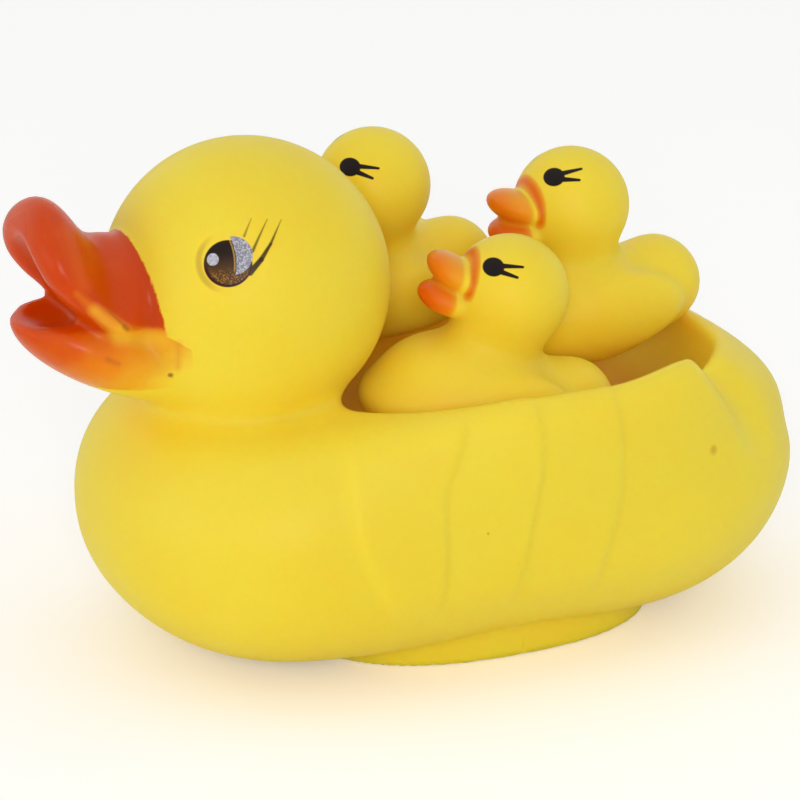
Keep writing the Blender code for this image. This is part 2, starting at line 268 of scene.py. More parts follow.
def softVinyl(name, paintOn):
    # plasticised PVC, rotationally moulded: satin, waxy and glowing orange in its hollows, partly from
    # light scattered under the skin and, inside the mother's tray, from a painted glow among the coats;
    # with faint mould grain; each coat of paint is (where, colour, roughness)
    material = bpy.data.materials.new(name)
    material.use_nodes = True
    tree = material.node_tree
    tree.nodes.clear()
    place = addNode(tree, "TexCoord", {}).node.outputs["Object"]
    patches = addNode(tree, "TexNoise", {"Vector": place, "Scale": perMetre(vinyl["patch"]),
                                         "Detail": 3.0, "Roughness": 0.55})
    settled = addNode(tree, "MapRange", smooth | {0: patches, 1: 0.35, 2: 0.75})
    colour = addNode(tree, "Mix", lay | {0: settled, 6: hexColour(vinyl["colour"]),
                                         7: hexColour(vinyl["deep"])})
    rough = addNode(tree, "MapRange", {0: patches, 1: 0.3, 2: 0.7,
                                       3: vinyl["roughness"] - vinyl["roughnessBelow"],
                                       4: vinyl["roughness"] + vinyl["roughnessAbove"]})
    for where, paint, gloss in paintOn(tree, place):
        colour = addNode(tree, "Mix", lay | {0: where, 6: colour, 7: paint})
        rough = addNode(tree, "Mix", {0: where, 2: rough, 3: gloss})
    grain = addNode(tree, "TexNoise", {"Vector": place, "Scale": perMetre(vinyl["grain"]), "Detail": 2.0})
    swell = addNode(tree, "TexNoise", {"Vector": place, "Scale": perMetre(vinyl["swell"]), "Detail": 1.0})
    relief = addNode(tree, "Math", {"operation": 'MULTIPLY_ADD', 0: swell, 1: vinyl["swellShare"],
                                    2: grain})
    bump = addNode(tree, "Bump", {"Height": relief, "Strength": vinyl["bumpStrength"],
                                  "Distance": vinyl["bumpDepth"]})
    shader = addNode(tree, "BsdfPrincipled", {
        "Base Color": colour, "Roughness": rough, "Normal": bump, "IOR": vinyl["ior"],
        "Specular IOR Level": vinyl["specular"], "Subsurface Weight": 1.0,
        "Subsurface Radius": vinyl["scatterRadius"], "Subsurface Scale": vinyl["scatterScale"]})
    addNode(tree, "OutputMaterial", {"Surface": shader})
    return material


spray = {
    "fleck": 1.11,              # mm; real droplets are nearer 0.2, drawn coarser to show
    "streak": 6.25,             # mm across the patches of thicker coat
    "wander": 0.35,             # how far the stencil's edge strays to each side, mm
    "unevenness": 0.16,         # of the coat's weight, to each side
    "edgeSoftness": 0.16,       # half the width of the painted edge, mm
    "thinnest": {1: 0.04, 2: 0.30},     # weights at which the coat starts to cover, and covers
}


def sprayedBill(tree, place, tones, gloss):
    # orange spray over the yellow: x of the map is the distance inside the stencil's edge in mm,
    # y how heavy the coat is; the coat runs from thin amber to full red-orange
    coat = addNode(tree, "Attribute", {"attribute_name": "billMap"}).node.outputs["Vector"]
    inside, weight = addNode(tree, "SeparateXYZ", {0: coat}).node.outputs[:2]
    flecks = addNode(tree, "TexNoise", {"Vector": place, "Scale": perMetre(spray["fleck"]),
                                        "Detail": 4.0, "Roughness": 0.7})
    wander = addNode(tree, "MapRange", {"clamp": False, 0: flecks, 1: 0.0, 2: 1.0,
                                        3: -spray["wander"], 4: spray["wander"]})
    edge = addNode(tree, "Math", {"operation": 'ADD', 0: inside, 1: wander})
    streaks = addNode(tree, "TexNoise", {"Vector": place, "Scale": perMetre(spray["streak"]),
                                         "Detail": 3.0})
    spread = addNode(tree, "MapRange", {"clamp": False, 0: streaks, 1: 0.0, 2: 1.0,
                                        3: -spray["unevenness"], 4: spray["unevenness"]})
    heavy = addNode(tree, "Math", {"operation": 'ADD', 0: weight, 1: spread})
    tone = addNode(tree, "ValToRGB", {0: heavy})
    steps = tone.node.color_ramp.elements
    for _ in tones[2:]:
        steps.new(0.5)
    for step, (at, colour) in zip(steps, tones):
        step.position, step.color = at, hexColour(colour)
    cover = addNode(tree, "MapRange", smooth | {0: edge, 1: -spray["edgeSoftness"],
                                                2: spray["edgeSoftness"]})
    cover = addNode(tree, "MapRange", smooth | spray["thinnest"] | {0: heavy, 4: cover})
    return cover, tone, gloss


motherEye = {
    # a range is the two inputs of a Map Range: 1 where it starts and 2 where it is full
    "centre": (18.0, -37.7, 71.0),      # on the head, mm
    "nearSide": {1: -9.0, 2: -8.0},     # depth behind the centre at which the print ends, mm
    "gloss": 0.36, "glitterGloss": 0.32,
    "flake": 0.1923,                    # mm across a flake of glitter
    # centre, half sizes and softness on the print, mm
    "iris": ((-0.15, 0.0), (3.70, 3.58), 0.02),
    "irisInside": ((0.0, 0.12), (3.35, 3.3), 0.05),
    "crescent": ((0.6, 1.2), (3.0, 2.95), 0.03),
    "glint": ((-2.47, 0.62), (0.90, 0.94), 0.08),
    # the two ovals that bound the painted shade in the socket
    "socketOuter": ((-0.1, 0.25), (5.0, 4.9), 0.05),
    "socketInner": ((0.2, 0.35), (4.4, 4.3), 0.07),
    # which way the socket's painted shade faces, how it fades in with that, and its strength
    "socketFacing": (-0.99, -0.14, 0.0), "socketSide": {1: 0.25, 2: 0.95}, "socketShade": 0.5,
    # the crescent's inner edge and the gold line beside it are arcs round one point: radii, mm
    "arcCentre": (-8.2, -0.2, 0.0), "crescentEdge": {1: 9.28, 2: 9.40},
    "goldInner": {1: 8.92, 2: 9.02}, "goldOuter": {1: 9.26, 2: 9.18},
    # heights on the print at which each tone of the iris comes in, mm
    "brownFrom": {1: 1.9, 2: -1.6}, "flecksFrom": {1: -0.4, 2: -2.3}, "goldFrom": {1: -1.6, 2: -0.8},
    "outlineFrom": {1: 0.4, 2: -1.2},
    # how bright a flake has to be
    "goldFlakes": {1: 0.55, 2: 0.8}, "silverFlakes": {1: 0.35, 2: 0.95}, "whiteFlakes": {1: 0.3, 2: 0.9},
    "black": "#241208", "brown": "#5E3C12", "flecks": "#A87830", "gold": "#B48C46",
    # socket is the olive of the painted shade in the eye's socket
    "outline": "#40120A", "socket": "#B4962C",
    "silver": ("#8E8C9A", "#D2D2DA"), "white": ("#B4B4C0", "#D4D4DC"),      # between and on flakes
    # from, to, half width at root and tip, softness; strength and ink
    "lashes": ((((3.2, -1.4), (4.9, 0.6), 0.48, 0.38, 0.12), 0.96, "#341A02"),
               (((4.9, 0.6), (6.3, 2.95), 0.37, 0.22, 0.12), 0.94, "#3C2204"),
               (((6.3, 2.95), (7.9, 6.8), 0.21, 0.03, 0.12), 0.88, "#4A2E04"),
               (((3.6, 1.9), (5.76, 6.8), 0.24, 0.05, 0.12), 0.80, "#54400A"),
               (((2.3, 4.2), (3.33, 6.9), 0.20, 0.05, 0.12), 0.65, "#66500A")),
}
motherMarks = {
    # weight and colour of the bill's coat, from thin amber to full red-orange
    "bill": ((0.0, "#F2CC3A"), (0.28, "#F0B424"), (0.52, "#EE9010"), (0.76, "#E06404"),
             (1.0, "#D24800")),
    "billGloss": 0.27, "wornGloss": 0.32,
    "wornSide": {1: -12.5, 2: -11.0},   # as the eye's nearSide, for the strokes of wear and of the slit's painted shade
    "paintedTrayGlow": "#FFC424",                # painted glow of the tray's inside, standing in for light scattered through its walls
    # worn and heavier places of the spray, and painted shade in the slit at the gape: from, to, half width
    # at root and tip, softness; strength and colour, mm on the print
    "wornAndSlitShade": ((((-29.6, 9.0), (-28.8, 3.0), 0.6, 0.6, 2.2), 0.40, "#C63A04"),
             (((-24.6, 4.9), (-21.8, -3.2), 0.4, 0.4, 2.4), 0.45, "#EA7A1E"),
             (((-22.8, -4.7), (-20.2, -7.2), 0.30, 0.80, 0.70), 0.60, "#E88C1E"),
             (((-20.2, -7.2), (-16.6, -10.4), 0.80, 1.40, 0.80), 0.80, "#F2B030"),
             (((-16.8, -11.0), (-10.4, -11.4), 1.20, 1.00, 1.20), 0.60, "#FACA34"),
             (((-7.9, -12.2), (-8.1, -15.6), 0.30, 0.30, 0.80), 0.60, "#DE8E1E"),
             # painted shade: the slit at the gape's corner, a dark stroke and its darker end
             (((-18.3, -7.2), (-16.1, -9.3), 0.12, 0.20, 0.20), 0.50, "#A85012"),
             (((-15.9, -9.6), (-15.6, -9.9), 0.36, 0.36, 0.30), 0.65, "#8E4812"),
             (((-9.4, -16.9), (-9.2, -16.9), 0.30, 0.30, 0.20), 0.75, "#7A3A10"),
             (((-18.6, -14.6), (-17.0, -15.2), 0.35, 0.30, 0.45), 0.45, "#B45A12")),
    # darker spots: painted shade in a small pit of the tail, then two dark specks: place, radius and
    # softness; strength, colour and roughness
    "pitShadeAndSpecks": ((((36.1, 36.9, 35.1), 0.75, 0.45), 0.45, "#B08618", 0.5),
                 (((39.0, -3.8, 28.7), 0.28, 0.12), 0.55, "#A88420", 0.42),
                 (((33.5, 8.0, 18.0), 0.22, 0.10), 0.55, "#A88420", 0.42)),
}
ducklingMarks = {
    "nearSide": {1: -4.5, 2: -4.0},
    "oval": ((0.0, 0.0), (1.70, 1.52), 0.05),
    "lashes": (((0.9, 0.35), (4.5, 0.85), 0.44, 0.20, 0.06),
               ((0.9, -0.5), (3.95, -0.95), 0.46, 0.22, 0.06)),
    "ink": "#170A06", "inkGloss": 0.38,
    "farSlip": 1.6,                     # how far back the far side's print slipped, mm
    "bill": ((0.0, "#F2CC3A"), (0.35, "#F0A820"), (0.7, "#EC8414"), (1.0, "#E4620C")),
    "billGloss": 0.30,
}


def motherPaint(tree, place):
    # sprayed bill, then the pad-printed eye: brown iris, silver glitter crescent and lashes
    eye, marks = motherEye, motherMarks
    spot = addNode(tree, "Attribute", {"attribute_name": "eyeMap"}).node.outputs["Vector"]
    u, v, w = addNode(tree, "SeparateXYZ", {0: spot}).node.outputs
    flat = addNode(tree, "CombineXYZ", {0: u, 1: v})
    side = addNode(tree, "MapRange", smooth | eye["nearSide"] | {0: w})
    glitter = addNode(tree, "TexVoronoi", {"Vector": place, "Scale": perMetre(eye["flake"])})
    spark = addNode(tree, "SeparateXYZ", {0: glitter.node.outputs["Color"]})
    hollow = addNode(tree, "Attribute", {"attribute_name": "trayGlowMap"}).node.outputs["Vector"]
    paintedTrayGlow = addNode(tree, "SeparateXYZ", {0: hollow})
    # the first coat is the painted glow of the tray's inside, in place of light scattered there
    coats = [(paintedTrayGlow, hexColour(marks["paintedTrayGlow"]), vinyl["roughness"]),
             sprayedBill(tree, place, marks["bill"], marks["billGloss"])]
    front = addNode(tree, "MapRange", smooth | marks["wornSide"] | {0: w})
    for stroke, strength, ink in marks["wornAndSlitShade"]:
        thin = addNode(tree, "Math", {"operation": 'MULTIPLY', 0: front, 1: strength})
        coats.append((inStroke(tree, flat, stroke, thin), hexColour(ink), marks["wornGloss"]))
    # darker spots: the first is painted shade in a pit of the tail, the others dark specks
    for darkSpot, strength, shade, gloss in marks["pitShadeAndSpecks"]:
        coats.append((atSpot(tree, place, darkSpot, strength), hexColour(shade), gloss))
    # painted shade, olive, on the lower left wall of the moulded socket: between two ovals, and facing
    # there
    unit = addNode(tree, "VectorMath", {"operation": 'NORMALIZE', 0: flat})
    facing = addNode(tree, "VectorMath", {"operation": 'DOT_PRODUCT', 0: unit, 1: eye["socketFacing"]})
    lower = addNode(tree, "MapRange", smooth | eye["socketSide"] | {0: facing, 4: side})
    inner = inOval(tree, flat, eye["socketInner"], lower)
    paintedSocketShade = addNode(tree, "Math", {"operation": 'SUBTRACT', 0: lower, 1: inner})
    paintedSocketShade = inOval(tree, flat, eye["socketOuter"], paintedSocketShade)
    paintedSocketShade = addNode(tree, "Math", {"operation": 'MULTIPLY', 0: paintedSocketShade, 1: eye["socketShade"]})
    coats.append((paintedSocketShade, hexColour(eye["socket"]), vinyl["roughness"]))
    for stroke, strength, ink in eye["lashes"]:
        faded = addNode(tree, "Math", {"operation": 'MULTIPLY', 0: side, 1: strength})
        coats.append((inStroke(tree, flat, stroke, faded), hexColour(ink), eye["gloss"]))
    # iris: near black above, brown in the middle, gold flecks below, a dark red-brown outline
    iris = inOval(tree, flat, eye["iris"], side)
    coats.append((iris, hexColour(eye["black"]), eye["gloss"]))
    brown = addNode(tree, "MapRange", smooth | eye["brownFrom"] | {0: v, 4: iris})
    coats.append((brown, hexColour(eye["brown"]), eye["gloss"]))
    flecks = addNode(tree, "MapRange", smooth | eye["flecksFrom"] | {0: v, 4: iris})
    flecks = addNode(tree, "MapRange", smooth | eye["goldFlakes"] | {0: spark, 4: flecks})
    coats.append((flecks, hexColour(eye["flecks"]), eye["gloss"]))
    arc = addNode(tree, "VectorMath", {"operation": 'DISTANCE', 0: flat, 1: eye["arcCentre"]})
    gold = addNode(tree, "MapRange", smooth | eye["goldInner"] | {0: arc, 4: iris})
    gold = addNode(tree, "MapRange", smooth | eye["goldOuter"] | {0: arc, 4: gold})
    gold = addNode(tree, "MapRange", smooth | eye["goldFrom"] | {0: v, 4: gold})
    coats.append((gold, hexColour(eye["gold"]), eye["gloss"]))
    outline = addNode(tree, "MapRange", smooth | eye["outlineFrom"] | {0: v, 4: iris})
    filled = inOval(tree, flat, eye["irisInside"], outline)
    outline = addNode(tree, "Math", {"operation": 'SUBTRACT', 0: outline, 1: filled})
    coats.append((outline, hexColour(eye["outline"]), eye["gloss"]))
    beyond = addNode(tree, "MapRange", smooth | eye["crescentEdge"] | {0: arc, 4: side})
    for oval, within, ink in (("crescent", beyond, "silver"), ("glint", side, "white")):
        shape = inOval(tree, flat, eye[oval], within)
        flakes = addNode(tree, "MapRange", smooth | eye[ink + "Flakes"] | {0: spark, 4: shape})
        ground, flake = eye[ink]
        coats.append((shape, hexColour(ground), eye["glitterGloss"]))
        coats.append((flakes, hexColour(flake), eye["glitterGloss"]))
    return coats


def ducklingPaint(tree, place):
    # thin orange spray on the bill and one-colour printed eyes with two lashes
    marks = ducklingMarks
    spot = addNode(tree, "Attribute", {"attribute_name": "eyeMap"}).node.outputs["Vector"]
    u, v, w = addNode(tree, "SeparateXYZ", {0: spot}).node.outputs
    flat = addNode(tree, "CombineXYZ", {0: u, 1: v})
    side = addNode(tree, "MapRange", smooth | marks["nearSide"] | {0: w})
    prints = [inOval(tree, flat, marks["oval"], side)]
    prints += [inStroke(tree, flat, stroke, side) for stroke in marks["lashes"]]
    return [sprayedBill(tree, place, marks["bill"], marks["billGloss"])] + [
        (where, hexColour(marks["ink"]), marks["inkGloss"]) for where in prints]


plastic = {
    "colour": "#F2EFE6", "clouded": "#E4DECD",
    "cloud": 3.33,              # mm across a cloud
    "toolMarks": 0.98,          # mm between them; real ones are nearer 0.2, drawn coarser to show
    "ior": 1.51, "roughness": 0.34,
    "scatterRadius": (1.0, 0.9, 0.8), "scatterScale": 0.001,
}


def squeakerPlastic():
    # injection-moulded polyethylene: milky and faintly waxy, with faint arcs left by the tool; a
    # ring wave's period is 2 pi / (20 scale)
    material = bpy.data.materials.new("milkyPolyethylene")
    material.use_nodes = True
    tree = material.node_tree
    tree.nodes.clear()
    place = addNode(tree, "TexCoord", {}).node.outputs["Object"]
    cloud = addNode(tree, "TexNoise", {"Vector": place, "Scale": perMetre(plastic["cloud"]), "Detail": 3.0})
    colour = addNode(tree, "Mix", lay | {0: cloud, 6: hexColour(plastic["colour"]),
                                         7: hexColour(plastic["clouded"])})
    rings = addNode(tree, "TexWave", {
        "wave_type": 'RINGS', "rings_direction": 'Z', "Vector": place, "Distortion": 0.4,
        "Scale": perMetre(plastic["toolMarks"]) * 2.0 * math.pi / 20.0}).node.outputs["Fac"]
    bump = addNode(tree, "Bump", {"Height": rings, "Strength": 0.2, "Distance": 0.00003})
    shader = addNode(tree, "BsdfPrincipled", {
        "Base Color": colour, "Normal": bump, "IOR": plastic["ior"], "Roughness": plastic["roughness"],
        "Subsurface Weight": 0.3, "Subsurface Radius": plastic["scatterRadius"],
        "Subsurface Scale": plastic["scatterScale"]})
    addNode(tree, "OutputMaterial", {"Surface": shader})
    return material


mother = {
    "headCentre": (0.0, -27.4, 61.4), "headRadii": (23.0, 22.7, 22.8),
    "breastCentre": (0.0, -21.0, 24.5), "breastRadii": (36.0, 32.8, 24.2),
    "hullCentre": (0.0, 14.0, 28.5), "hullRadii": (39.0, 44.0, 27.2),
    # exponents of the superellipsoids, 2 for a true ellipsoid: in plan, and from the side, where the
    # hull's walls stand more upright above its centre than below
    "breastFullness": (2.15, 2.15), "hullFullness": (2.35, 3.8, 2.35), "breastBlend": 12.0,
    "tailCentre": (0.0, 37.0, 28.0), "tailRadii": (34.5, 27.7, 26.0),
    "tailTop": 53.0, "tailFall": 0.52,          # height of the tail's deck and its fall per mm
    "deckEdge": 6.0,
    "rimHeight": 48.4, "rimRise": 0.01, "rimEdge": 4.0, "trayEdge": 3.0,
    "breastFallY": 4.0, "breastFall": 0.17,     # ahead of this Y the rim falls, per mm
    # the rim crests in a soft hump at the wing's tip and falls behind it, per mm
    "wingTipY": 35.5, "wingTipFall": 1.0, "wingTipHump": 1.2, "wingTipLength": 6.0,
    "trayCentre": (0.0, 15.1, 58.0), "trayRadii": (33.3, 37.4, 32.0), "trayFloor": 27.5,
    "trayFullness": (2.25, 2.8), "trayFloorFillet": 8.0,
    "footHalfWidth": 24.0, "footHalfLength": 31.0, "footCentreY": 10.0, "footFullness": 2.4,
    "footTop": 9.0, "footFillet": 1.5, "footBlend": 1.2, "soleFillet": 0.8,
    "neckBlend": 5.0,
    # places of the bill are forward of the head's centre and above it
    "upperBillRoot": (24.0, 5.6), "upperBillTilt": 38.0, "upperBillRadii": (12.8, 13.1, 6.4),
    "lowerBillRoot": (24.0, -8.0), "lowerBillTilt": 24.0, "lowerBillRadii": (12.2, 17.2, 6.4),
    "upperBillMiddle": 3.0, "billFullness": 2.7,
    "billDroop": 0.022, "billCurl": 0.012,      # fall to the sides, and rise to the tip, per mm squared
    "palate": ((0.0, 9.5, -6.6), (8.0, 8.4, 4.4)),
    "lipEdge": 1.6, "mouthEdge": 1.4, "billWeb": 2.5, "billBlend": 2.6,
    "billSaddle": (2.3, 26.8, 3.8),             # depth of the dip behind the bill's tip, place, half width
    "lipRise": 3.2,
    # the spray's stencil: how far forward it starts, its lean with height, how much further back it
    # reaches at the gape, and how far below the head's centre it ends
    "stencil": (19.0, 0.14, 2.6, 11.5),
    "lowerCoat": (12.0, 41.0),          # how far forward the lower bill's coat starts, and is full
    "mouth": ((0.0, 32.5, 1.2), (7.6, 6.8, 3.4)),      # hollow behind the lips, from the head's centre
    # dent between the wing's end and the tail: two ends, depth and half width
    "tailValley": ((28.5, 42.3, 45.5), (31.8, 48.0, 36.0), 2.2, 3.4),
    "wingRelief": 1.0, "featherStep": 0.62,
    # front edge of the wing: its Y at one height, then how it leans and curves with height
    "wingFront": (-25.0, 32.0, -0.10, 0.020),
    "wingBehind": (34.0, 50.0), "wingBelow": (12.0, 20.0), "wingInside": (20.0, 30.0),     # it fades
    "featherRise": (-2.0, 13.0),        # each step is made good over this much of the next feather
    # each feather's edge: its Y, and how far it leans back from one height to another
    "featherEdges": ((-10.8, 5.4, 33.0, 48.0), (2.0, 3.6, 16.0, 44.0), (16.4, 2.6, 18.0, 36.0)),
    "socketPlace": (0.1, 0.3), "socketRadius": 5.1, "socketDepth": 0.30,        # on the eye's print
    "pocket": (10.8, 4.05, 8.5),        # squeaker pocket: radius, depth, Y
    "cell": 0.8,
}


def fromSegment(x, y, z, start, end):
    # |p - a - t (b - a)|, t = (p - a).(b - a) / |b - a|^2 held in 0..1
    a, b, c = x - start[0], y - start[1], z - start[2]
    dx, dy, dz = (e - f for e, f in zip(end, start))
    t = np.clip((a * dx + b * dy + c * dz) / (dx * dx + dy * dy + dz * dz), 0.0, 1.0)
    return np.sqrt((a - t * dx) ** 2 + (b - t * dy) ** 2 + (c - t * dz) ** 2)


def wingRelief(x, y, z):
    # height of the folded wing over the side: a ramp at its front edge, then at each feather's
    # edge a sharp drop that the next feather slowly makes good
    front, level, lean, curve = mother["wingFront"]
    high = z - level
    rise = ramp(-1.2, 1.2, y - (front + curve * high ** 2 + lean * high))
    reach = 1.0 - ramp(*mother["wingBehind"], y)
    belly = ramp(*mother["wingBelow"], z) * ramp(*mother["wingInside"], np.abs(x))
    drop = 0.0
    for place, lean, low, up in mother["featherEdges"]:
        behind = y - place - lean * ramp(low, up, z)
        step = ramp(-0.5, 0.5, behind) * (1.0 - ramp(*mother["featherRise"], behind))
        drop = drop + mother["featherStep"] * step
    return belly * reach * (mother["wingRelief"] * rise - drop)


def motherTray(x, y, z):
    # a superellipsoid bowl with a flat floor
    bowl = superEllipsoid(x, y, z, mother["trayCentre"], mother["trayRadii"], *mother["trayFullness"])
    return common(bowl, mother["trayFloor"] - z, mother["trayFloorFillet"])


def motherHull(x, y, z):
    # breast, hull and tail joined, opened by the tray, standing on an oval foot
    side = np.abs(x)
    plan, above, below = mother["hullFullness"]
    upright = np.where(z > mother["hullCentre"][2], above, below)
    breast = superEllipsoid(x, y, z, mother["breastCentre"], mother["breastRadii"],
                            *mother["breastFullness"])
    hull = superEllipsoid(x, y, z, mother["hullCentre"], mother["hullRadii"], plan, upright)
    body = joined(breast, hull, mother["breastBlend"]) - wingRelief(x, y, z)
    past = y - mother["wingTipY"]
    hump = np.exp(-((past + 3.0) / mother["wingTipLength"]) ** 2) * ramp(18.0, 30.0, side)
    rim = (mother["rimHeight"] + mother["rimRise"] * y + mother["wingTipHump"] * hump
           - mother["wingTipFall"] * np.clip(past, 0.0, 40.0)
           - mother["breastFall"] * np.clip(mother["breastFallY"] - y, 0.0, 30.0))
    body = common(body, z - rim, mother["rimEdge"])
    deck = mother["tailTop"] - mother["tailFall"] * np.clip(y - mother["tailCentre"][1], 0.0, 40.0)
    tail = common(ellipsoid(x, y, z, mother["tailCentre"], mother["tailRadii"]), z - deck,
                  mother["deckEdge"])
    # the blend is wider low down, where tail and hull run into one another
    body = joined(body, tail, 4.0 + 8.0 * ramp(38.0, 24.0, z))
    start, end, deep, wide = mother["tailValley"]
    body = body + deep * np.exp(-(fromSegment(side, y, z, start, end) / wide) ** 2)
    body = common(body, -motherTray(x, y, z), mother["trayEdge"])
    n = mother["footFullness"]
    foot = ((side / mother["footHalfWidth"]) ** n
            + (np.abs(y - mother["footCentreY"]) / mother["footHalfLength"]) ** n) ** (1.0 / n)
    foot = common((foot - 1.0) * mother["footHalfWidth"], z - mother["footTop"], mother["footFillet"])
    return common(joined(body, foot, mother["footBlend"]), -z, mother["soleFillet"])


def motherBill(x, y, z):
    # two spoon-shaped mandibles, hollowed inside and webbed at the corners of the mouth
    forward, up = mother["headCentre"][1] - y, z - mother["headCentre"][2]
    s, v = tilted(forward, up, mother["upperBillRoot"], mother["upperBillTilt"])
    v = v + 1.2 - mother["billCurl"] * np.clip(s - 4.0, 0.0, None) ** 2 + mother["billDroop"] * x * x
    deep, middle, wide = mother["billSaddle"]
    v = v + deep * np.exp(-((forward - middle) / wide) ** 2) * ramp(-3.0, 1.0, v)
    half, length, thick = mother["upperBillRadii"]
    thick = thick + 0.05 * np.clip(8.0 - s, 0.0, 14.0)      # thicker towards the root
    ahead, n = s - mother["upperBillMiddle"], mother["billFullness"]
    cross = np.sqrt((x / half) ** 2 + (v / thick) ** 2)
    k = (cross ** n + (np.abs(ahead) / length) ** n) ** (1.0 / n) + 1e-9
    upper = np.sqrt(x * x + v * v + ahead ** 2) * (1.0 - 1.0 / k)
    upper = common(upper, -ellipsoid(x, s, v, *mother["palate"]), mother["lipEdge"])
    s, v = tilted(forward, up, mother["lowerBillRoot"], mother["lowerBillTilt"])
    lower = ellipsoid(x, s, v, (0.0, -1.0, 0.6), mother["lowerBillRadii"])
    lip = mother["lipRise"] * ramp(37.0, 32.0, forward) - 1.0       # the lip climbs to the gape
    lower = common(lower, up - lip, mother["lipEdge"])
    lower = common(lower, -ellipsoid(x, forward, up, *mother["mouth"]), mother["mouthEdge"])
    return common(joined(upper, lower, mother["billWeb"]), 6.0 - forward, 1.0)


# the printing pad comes from the duck's left and front, a little above: right, up and towards it
padRight = np.array((0.4226, 0.9063, 0.0))
padUp = np.array((-0.3100, 0.1445, 0.9397))
padNormal = np.array((0.8517, -0.3971, 0.3420))


def padMap(points, centre, right, up, normal, slip=0.0):
    # (u, v, w) = the point's offset from the print's centre along the pad's axes, x mirrored; the
    # far side's print slipped back
    offset = points * (1.0, 1.0, 1.0)
    offset[:, 0] = np.abs(offset[:, 0])
    offset = offset - np.array(centre) - slip * (points[:, :1] < 0.0) * np.array(right)
    return np.stack([offset @ right, offset @ up, offset @ normal], 1)


def motherField(x, y, z):
    # hull, head with its shallow eye sockets, and bill, with the squeaker's pocket cut from below
    head = ellipsoid(x, y, z, mother["headCentre"], mother["headRadii"])
    offset = [value - middle for value, middle in zip((np.abs(x), y, z), motherEye["centre"])]
    u, v, w = (sum(value * share for value, share in zip(offset, axis))
               for axis in (padRight, padUp, padNormal))
    across, above = mother["socketPlace"]
    radius = np.sqrt((u - across) ** 2 + (v - above) ** 2)
    socket = 1.0 - ramp(mother["socketRadius"] - 0.7, mother["socketRadius"] + 0.3, radius)
    head = head + mother["socketDepth"] * socket * (w > motherEye["nearSide"][2])
    body = joined(motherHull(x, y, z), head, mother["neckBlend"])
    body = joined(body, motherBill(x, y, z), mother["billBlend"])
    radius, depth, middle = mother["pocket"]
    pocket = common(np.sqrt(x * x + (y - middle) ** 2) - radius, z - depth, 0.2)
    return common(body, -pocket, 0.2)


def motherBillMap(points):
    # x: distance inside the stencil's edge, mm; y: weight of the coat, full above the gape and in
    # the mouth, and fading down the outside of the lower bill towards the cheek
    f, u = mother["headCentre"][1] - points[:, 1], points[:, 2] - mother["headCentre"][2]
    start, lean, corner, sill = mother["stencil"]
    edge = np.minimum(f - (start + lean * u - corner * ramp(-2.4, -4.2, u)), u + sill)
    inMouth = ramp(1.4, 0.2, ellipsoid(points[:, 0], f, u, *mother["mouth"]))
    above = np.maximum(ramp(-2.4, -1.2, u), inMouth)
    thin, full = mother["lowerCoat"]
    low = np.clip((f + 0.6 * (u + 6.0) - thin) / (full - thin), 0.0, 1.0)
    coat = np.maximum(above, low)
    return np.stack([edge, coat, 0.0 * edge], 1)


def motherTrayGlowMap(points):
    # x: how strongly the tray's inside takes the painted orange glow that stands in for light
    # scattered in the hollow, full well below the rim
    x, y, z = points.T
    tray = motherTray(x, y, z)
    depth = mother["rimHeight"] - mother["wingTipFall"] * np.clip(y - mother["wingTipY"], 0.0, 40.0) - z
    near = ramp(1.6, 0.4, np.abs(tray)) * ramp(1.0, 9.0, depth)
    return np.stack([near, 0.0 * near, 0.0 * near], 1)


print("mother duck: skin")
motherPoints, motherQuads = skin(motherField, (-42.0, -72.0, -1.2), (42.0, 68.0, 86.0), mother["cell"])
motherMaterial = softVinyl("sprayedSoftVinyl", motherPaint)
frameMesh("motherDuck", motherPoints, motherQuads, motherMaterial, "mother_duck", {
    "eyeMap": padMap(motherPoints, motherEye["centre"], padRight, padUp, padNormal),
    "billMap": motherBillMap(motherPoints),
    "trayGlowMap": motherTrayGlowMap(motherPoints),
})
print("mother duck:", len(motherQuads) * 2, "triangles")

duckling = {
    "headCentre": (0.0, -3.0, 26.4), "headRadii": (9.6, 9.4, 9.4),
    "bodyCentre": (0.0, -2.4, 9.1), "bodyRadii": (12.1, 16.5, 9.6),
    "tailCentre": (0.0, 12.8, 11.4), "tailRadii": (8.4, 7.0, 7.3),
    "wingCentre": (9.2, 3.6, 10.6), "wingRadii": (3.4, 8.6, 5.4),
    "pressedBreast": ((0.0, -6.6, 5.0), (11.0, 14.8, 6.4)),
    "breastBlend": 4.0, "wingBlend": 3.2, "neckBlend": 5.5, "gape": 1.0, "billBlend": 0.8,
    # root (forward of the head's centre, above it), tilt and half sizes of each half of the bill
    "upperBill": ((9.8, 0.8), 18.0, (5.6, 5.0, 2.6)), "lowerBill": ((9.5, -3.4), 2.0, (5.0, 5.0, 2.6)),
    "stencil": (7.0, 6.5), "rim": (8.1, 0.5),   # start and sill; the painted rim's place and width
    # weight of the coat on each half of the bill, at the root and added at the tip
    "upperCoat": (0.36, 0.34), "lowerCoat": (0.62, 0.33), "rimCoat": 0.80,
    "pocket": (5.7, 3.05, -2.0),
    "cell": 0.5,
    # name, node, place of the foot, nose-up pitch, lean to the left, turn; eye centre, turn of the
    # print, slip of the bill's stencil
    "brood": (("leftDuckling", "duckling_left", (12.8, 6.3, 32.1), 19.0, 0.0, -12.0,
               (5.63, -8.97, 31.12), -11.0, 0.0),
              ("rightDuckling", "duckling_right", (-22.4, 4.3, 42.5), 3.8, 11.9, -7.0,
               (4.47, -8.98, 32.20), -14.0, 1.8),
              ("rearDuckling", "duckling_rear", (-2.4, 34.1, 39.2), 0.0, 0.0, 0.0,
               (4.35, -8.39, 32.82), 6.0, 0.0)),
}


